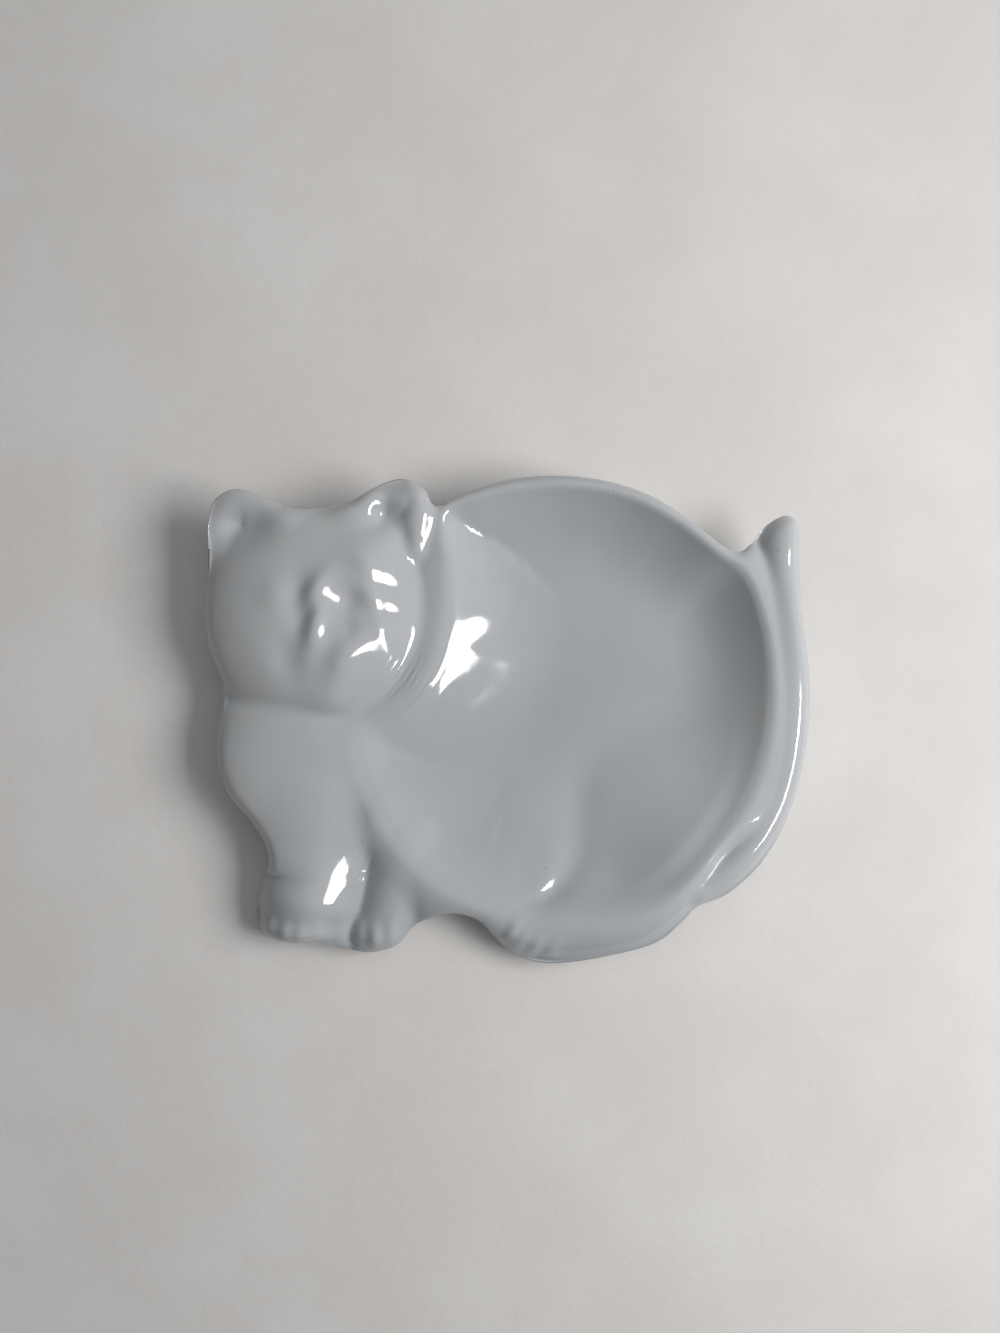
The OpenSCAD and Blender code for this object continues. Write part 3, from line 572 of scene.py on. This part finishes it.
def glazed_pieces():
    """Vertices, smooth normals and, form by form, the faces that show and those inside a joint."""
    places, faces = joined_grids()
    up = places[:, 2] == 0
    z = np.empty(len(places))
    z[up], z[~up] = upper(places[up, :2]), lower(places[~up, :2])
    vertices = np.column_stack([places[:, :2], z])
    # a band's face on the outline belongs to one form only, one on a seam to two
    bands = closing_bands(places, faces)
    owners = Counter(frozenset(face) for band in bands for face in band)
    shown = [top + under + [face for face in band if owners[frozenset(face)] == 1]
             for (top, under), band in zip(faces, bands)]
    joints = [[face for face in band if owners[frozenset(face)] > 1] for band in bands]
    normals = smooth_normals(vertices, [face for form in shown for face in form])
    return vertices, normals, shown, joints


def mesh_piece(name, vertices, normals, shown, joint):
    """Closed mesh with the whole cat's smooth normals on the faces that show."""
    used = np.unique(np.concatenate([np.asarray(face) for face in shown + joint]))
    place = np.zeros(len(vertices), int)
    place[used] = np.arange(len(used))
    mesh = bpy.data.meshes.new(name)
    mesh.from_pydata([tuple(v) for v in vertices[used] * MM], [],
                     [place[face].tolist() for face in shown + joint])
    mesh.shade_smooth()
    mesh.update()
    corners = [tuple(normals[i]) for face in shown for i in face]
    for polygon in mesh.polygons[len(shown):]:
        corners += [tuple(polygon.normal)] * polygon.loop_total
    mesh.normals_split_custom_set(corners)
    piece = bpy.data.objects.new(name, mesh)
    bpy.context.scene.collection.objects.link(piece)
    return piece


# Finishes.

# Colours of the glaze low down and high up, and the heights up to which and from which they
# hold: low down its pooled, bluer tint with painted shade, high up its thin, whiter tint with
# painted light.
POOLED_AND_SHADED_GLAZE, THIN_AND_LIT_GLAZE = (0.448, 0.472, 0.488, 1), (0.515, 0.527, 0.533, 1)
POOLED_AND_SHADED_HEIGHT, THIN_AND_LIT_HEIGHT = 5.5 * MM, 12.5 * MM
GLAZE_ROUGHNESS, GLAZE_IOR, COAT_WEIGHT, COAT_ROUGHNESS = 0.085, 1.5, 0.15, 0.03
# A cloud is its scale, detail, the two noise values it runs between and its two colours.
GLAZE_CLOUD = (38.0, 3.0, 0.32, 0.7, (0.95, 0.955, 0.96, 1), (1, 1, 1, 1))
RIPPLE_CLOUD, RIPPLE_DEPTH = (150.0, 2.0, 0.25, 0.75), 0.02 * MM
# Pinholes left by bubbles, one at most in each cell of the glaze: radii as shares of a cell.
PINHOLE_SCALE, PINHOLE_INNER, PINHOLE_OUTER = 170.0, 0.016, 0.034
PINHOLE_COLOUR, PINHOLE_DEPTH = (0.3, 0.3, 0.29, 1), 0.02 * MM
# Fur lines: circles round a point of the head, broken by a cloud, near the ruff only.
FUR_MIDDLE, RUFF_MIDDLE = (-0.0385, 0.0225, 0.0100), (-0.0192, 0.0080, 0.0120)
RUFF_INNER, RUFF_OUTER = 3 * MM, 7 * MM
FUR_CLOUD, FUR_DEPTH, FUR_PITCH = (260.0, 1.0, 0.3, 0.6), 0.035 * MM, 1.15 * MM

BISCUIT_CLOUD = (900.0, 4.0, 0.3, 0.7, (0.52, 0.48, 0.41, 1), (0.72, 0.69, 0.62, 1))
BISCUIT_ROUGHNESS, BISCUIT_GRAIN_SCALE, BISCUIT_GRAIN_DEPTH = 0.85, 1400.0, 0.05 * MM
SHEET_CLOUD = (26.0, 5.0, 0.35, 0.7, (0.745, 0.716, 0.684, 1), (0.8, 0.775, 0.745, 1))
SHEET_ROUGHNESS, SHEET_GRAIN_SCALE, SHEET_GRAIN_DEPTH = 0.7, 520.0, 0.02 * MM
GRAIN_DETAIL, GRAIN_LOW, GRAIN_HIGH = 4.0, 0.3, 0.7
# Sockets of a colour mix node: share, two colours in, colour out.
SHARE_IN, FIRST_IN, SECOND_IN, MIXED_OUT = 0, 6, 7, 2


def node(tree, kind, values=None, **settings):
    """New shader node with its settings and the values of its sockets."""
    made = tree.nodes.new(kind)
    for key, value in settings.items():
        setattr(made, key, value)
    for socket, value in (values or {}).items():
        made.inputs[socket].default_value = value
    return made


def join(tree, *pairs):
    for out, into in pairs:
        tree.links.new(out, into)


def material(name):
    made = bpy.data.materials.new(name)
    made.use_nodes = True
    return made, made.node_tree, made.node_tree.nodes["Principled BSDF"]


def mottle_group():
    """Soft cloud of two colours with the same cloud as a height, for glaze, biscuit and sheet."""
    tree = bpy.data.node_groups.new("mottle", "ShaderNodeTree")
    for name, kind, value in (
            ("Scale", "NodeSocketFloat", 40.0), ("Detail", "NodeSocketFloat", 3.0),
            ("Low", "NodeSocketFloat", 0.3), ("High", "NodeSocketFloat", 0.7),
            ("Low Colour", "NodeSocketColor", (0.4, 0.4, 0.4, 1)),
            ("High Colour", "NodeSocketColor", (0.5, 0.5, 0.5, 1))):
        socket = tree.interface.new_socket(name, in_out="INPUT", socket_type=kind)
        socket.default_value = value
    tree.interface.new_socket("Colour", in_out="OUTPUT", socket_type="NodeSocketColor")
    tree.interface.new_socket("Height", in_out="OUTPUT", socket_type="NodeSocketFloat")
    given, out = tree.nodes.new("NodeGroupInput"), tree.nodes.new("NodeGroupOutput")
    place = tree.nodes.new("ShaderNodeTexCoord")
    cloud = node(tree, "ShaderNodeTexNoise", {"Roughness": 0.58})
    share = node(tree, "ShaderNodeMapRange", interpolation_type="SMOOTHSTEP")
    tint = node(tree, "ShaderNodeMix", data_type="RGBA")
    join(tree, (place.outputs["Object"], cloud.inputs["Vector"]),
         (given.outputs["Scale"], cloud.inputs["Scale"]),
         (given.outputs["Detail"], cloud.inputs["Detail"]),
         (cloud.outputs["Fac"], share.inputs["Value"]),
         (given.outputs["Low"], share.inputs["From Min"]),
         (given.outputs["High"], share.inputs["From Max"]),
         (share.outputs["Result"], tint.inputs[SHARE_IN]),
         (given.outputs["Low Colour"], tint.inputs[FIRST_IN]),
         (given.outputs["High Colour"], tint.inputs[SECOND_IN]),
         (tint.outputs[MIXED_OUT], out.inputs["Colour"]),
         (share.outputs["Result"], out.inputs["Height"]))
    return tree


MOTTLE = mottle_group()


def mottle(tree, scale, detail, low, high, low_colour=(0, 0, 0, 1), high_colour=(1, 1, 1, 1)):
    return node(tree, "ShaderNodeGroup", node_tree=MOTTLE, values={
        "Scale": scale, "Detail": detail, "Low": low, "High": high,
        "Low Colour": low_colour, "High Colour": high_colour})


def maths(tree, operation, a, b=None):
    """Outcome of one operation on numbers or sockets."""
    made = node(tree, "ShaderNodeMath", operation=operation)
    for socket, value in zip(made.inputs, (a, b)):
        if isinstance(value, (int, float)):
            socket.default_value = value
        elif value is not None:
            tree.links.new(value, socket)
    return made.outputs[0]


def distance_from(tree, place, centre):
    made = node(tree, "ShaderNodeVectorMath", {1: centre}, operation="DISTANCE")
    join(tree, (place.outputs["Object"], made.inputs[0]))
    return made.outputs["Value"]


def within(tree, gap, near, far):
    """1 where the gap is below near, 0 beyond far."""
    made = node(tree, "ShaderNodeMapRange", {
        "From Min": near, "From Max": far, "To Min": 1.0, "To Max": 0.0},
        interpolation_type="SMOOTHSTEP")
    join(tree, (gap, made.inputs["Value"]))
    return made.outputs["Result"]


def around_pinholes(tree, place):
    """0 in a pinhole, 1 round it."""
    cells = node(tree, "ShaderNodeTexVoronoi", {"Scale": PINHOLE_SCALE})
    made = node(tree, "ShaderNodeMapRange", {"From Min": PINHOLE_INNER, "From Max": PINHOLE_OUTER})
    join(tree, (place.outputs["Object"], cells.inputs["Vector"]),
         (cells.outputs["Distance"], made.inputs["Value"]))
    return made.outputs["Result"]


def glaze_colour(tree, place, clear):
    """Pooled and bluer with painted shade low down, thin and whiter with painted light high up,
    under a soft cloud and pinholes.
    """
    split = tree.nodes.new("ShaderNodeSeparateXYZ")
    level = node(tree, "ShaderNodeMapRange", {
        "From Min": POOLED_AND_SHADED_HEIGHT, "From Max": THIN_AND_LIT_HEIGHT}, interpolation_type="SMOOTHSTEP")
    # low down the glaze's pooled tint darkened as painted shade, high up its thin tint lightened
    # as painted light
    pooling_and_shade = node(tree, "ShaderNodeMix", {FIRST_IN: POOLED_AND_SHADED_GLAZE, SECOND_IN: THIN_AND_LIT_GLAZE},
                 data_type="RGBA")
    cloud = mottle(tree, *GLAZE_CLOUD)
    colour = node(tree, "ShaderNodeMix", {SHARE_IN: 1.0}, data_type="RGBA", blend_type="MULTIPLY")
    speck = node(tree, "ShaderNodeMix", {FIRST_IN: PINHOLE_COLOUR}, data_type="RGBA")
    join(tree, (place.outputs["Object"], split.inputs[0]),
         (split.outputs["Z"], level.inputs["Value"]),
         (level.outputs["Result"], pooling_and_shade.inputs[SHARE_IN]),
         (pooling_and_shade.outputs[MIXED_OUT], colour.inputs[FIRST_IN]),
         (cloud.outputs["Colour"], colour.inputs[SECOND_IN]),
         (clear, speck.inputs[SHARE_IN]),
         (colour.outputs[MIXED_OUT], speck.inputs[SECOND_IN]))
    return speck.outputs[MIXED_OUT]


def glaze_relief(tree, place, clear):
    """Height of the glaze: its ripples, the fur lines round the cheek, and the pinholes."""
    ripple = mottle(tree, *RIPPLE_CLOUD)
    stroke = mottle(tree, *FUR_CLOUD)
    ruff = within(tree, distance_from(tree, place, RUFF_MIDDLE), RUFF_INNER, RUFF_OUTER)
    reach = distance_from(tree, place, FUR_MIDDLE)
    wave = maths(tree, "SINE", maths(tree, "MULTIPLY", reach, 2 * math.pi / FUR_PITCH))
    fur = maths(tree, "MULTIPLY", maths(tree, "MULTIPLY", wave, ruff), stroke.outputs["Height"])
    relief = maths(tree, "MULTIPLY", ripple.outputs["Height"], RIPPLE_DEPTH)
    relief = maths(tree, "ADD", relief, maths(tree, "MULTIPLY", fur, FUR_DEPTH))
    return maths(tree, "ADD", relief, maths(tree, "MULTIPLY", clear, PINHOLE_DEPTH))


def glaze_finish():
    """Clear glaze over pale porcelain."""
    made, tree, shader = material("glazed_porcelain")
    place = tree.nodes.new("ShaderNodeTexCoord")
    clear = around_pinholes(tree, place)
    bump = node(tree, "ShaderNodeBump", {"Strength": 1.0, "Distance": 1.0})
    join(tree, (glaze_colour(tree, place, clear), shader.inputs["Base Color"]),
         (glaze_relief(tree, place, clear), bump.inputs["Height"]),
         (bump.outputs["Normal"], shader.inputs["Normal"]))
    for name, value in (("Roughness", GLAZE_ROUGHNESS), ("IOR", GLAZE_IOR),
                        ("Coat Weight", COAT_WEIGHT), ("Coat Roughness", COAT_ROUGHNESS)):
        shader.inputs[name].default_value = value
    return made


def matt_finish(name, cloud, roughness, grain_scale, grain_depth):
    """Matt surface with a cloud of two colours and a fine grain."""
    made, tree, shader = material(name)
    tint = mottle(tree, *cloud)
    grain = mottle(tree, grain_scale, GRAIN_DETAIL, GRAIN_LOW, GRAIN_HIGH)
    bump = node(tree, "ShaderNodeBump", {"Strength": 1.0, "Distance": grain_depth})
    join(tree, (tint.outputs["Colour"], shader.inputs["Base Color"]),
         (grain.outputs["Height"], bump.inputs["Height"]),
         (bump.outputs["Normal"], shader.inputs["Normal"]))
    shader.inputs["Roughness"].default_value = roughness
    return made


# The pieces.

porcelain = glaze_finish()
vertices, normals, shown, joints = glazed_pieces()
for form, faces, joint in zip(FORMS, shown, joints):
    piece = mesh_piece("glazed_" + form, vertices, normals, faces, joint)
    piece.data.materials.append(porcelain)
    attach(piece, "root")
    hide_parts(form)

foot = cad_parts["foot_ring"]
foot.data.materials.clear()
foot.data.materials.append(matt_finish(
    "ground_biscuit", BISCUIT_CLOUD, BISCUIT_ROUGHNESS, BISCUIT_GRAIN_SCALE, BISCUIT_GRAIN_DEPTH))


# Sheet, light and camera.

# In metres.
HALF_SHEET_SIDE = 1.5
# Azimuths and elevations, widths, heights and rolls of the lights are in degrees, as seen from
# the cat, and their distances in metres. The soft ones light the cat and its shadow and aren't
# reflected, and the panes of the window are only reflected.
SOFT_LIGHTS = (("daylight", 1, 43, 34, 26, 9.2), ("skylight", 84, 66, 60, 50, 0.46))
SOFT_COLOUR, SOFT_DISTANCE = (0.99, 0.99, 1.0), 0.5
WINDOW_PANES = (("window_pane_back", -7.5, 7), ("window_pane_front", -25.5, 23.6))
PANE_ELEVATION, PANE_HEIGHT, PANE_RADIANCE, PANE_ROLL = 44, 12.5, 24.0, 14
PANE_COLOUR, PANE_DISTANCE = (0.97, 0.985, 1.0), 0.6
# The room lights the cat softly and looks pale behind it.
ROOM_COLOUR, ROOM_LIGHT, ROOM_SEEN = (0.93, 0.96, 1.0, 1), 0.14, 0.62
# Camera straight above: its place in metres, and its focal length in pixels of the tall side.
CAMERA_PLACE, SENSOR_WIDTH = (-0.00141, 0.01095, 0.222), 36
FOCAL_PIXELS, TALL_SIDE_PIXELS = 1108, 1333


def area_light(name, azimuth, elevation, width, height, radiance, colour, distance, roll=0):
    az, el = math.radians(azimuth), math.radians(elevation)
    towards = Vector((math.cos(az) * math.cos(el), math.sin(az) * math.cos(el), math.sin(el)))
    lamp = bpy.data.lights.new(name, "AREA")
    lamp.shape = "RECTANGLE"
    lamp.size = 2 * distance * math.tan(math.radians(width) / 2)
    lamp.size_y = 2 * distance * math.tan(math.radians(height) / 2)
    lamp.energy = radiance * math.pi * lamp.size * lamp.size_y
    lamp.color = colour
    made = bpy.data.objects.new(name, lamp)
    made.location = towards * distance
    turn = Quaternion((0, 0, 1), math.radians(roll))
    made.rotation_euler = ((-towards * distance).to_track_quat("-Z", "Y") @ turn).to_euler()
    bpy.context.scene.collection.objects.link(made)
    return made


sheet_mesh = bpy.data.meshes.new("sheet")
sheet_mesh.from_pydata(
    [(x * HALF_SHEET_SIDE, y * HALF_SHEET_SIDE, 0)
     for x, y in ((-1, -1), (1, -1), (1, 1), (-1, 1))], [], [(0, 1, 2, 3)])
sheet = bpy.data.objects.new("sheet", sheet_mesh)
sheet_mesh.materials.append(matt_finish(
    "pale_sheet", SHEET_CLOUD, SHEET_ROUGHNESS, SHEET_GRAIN_SCALE, SHEET_GRAIN_DEPTH))
bpy.context.scene.collection.objects.link(sheet)

for name, azimuth, elevation, width, height, radiance in SOFT_LIGHTS:
    soft = area_light(
        name, azimuth, elevation, width, height, radiance, SOFT_COLOUR, SOFT_DISTANCE)
    soft.visible_glossy = False
for name, azimuth, width in WINDOW_PANES:
    window = area_light(name, azimuth, PANE_ELEVATION, width, PANE_HEIGHT, PANE_RADIANCE,
                        PANE_COLOUR, PANE_DISTANCE, PANE_ROLL)
    window.visible_diffuse = False

world = bpy.data.worlds.new("room")
world.use_nodes = True
background = world.node_tree.nodes["Background"]
background.inputs["Color"].default_value = ROOM_COLOUR
ray = world.node_tree.nodes.new("ShaderNodeLightPath")
room = node(world.node_tree, "ShaderNodeMapRange", {"To Min": ROOM_LIGHT, "To Max": ROOM_SEEN})
join(world.node_tree, (ray.outputs["Is Camera Ray"], room.inputs["Value"]),
     (room.outputs["Result"], background.inputs["Strength"]))
bpy.context.scene.world = world

camera_data = bpy.data.cameras.new("camera")
camera_data.sensor_width = SENSOR_WIDTH
camera_data.lens = SENSOR_WIDTH * FOCAL_PIXELS / TALL_SIDE_PIXELS
camera_data.clip_start = 0.005
camera = bpy.data.objects.new("camera", camera_data)
camera.location = CAMERA_PLACE
bpy.context.scene.collection.objects.link(camera)
bpy.context.scene.camera = camera
bpy.context.scene.view_settings.view_transform = "Standard"
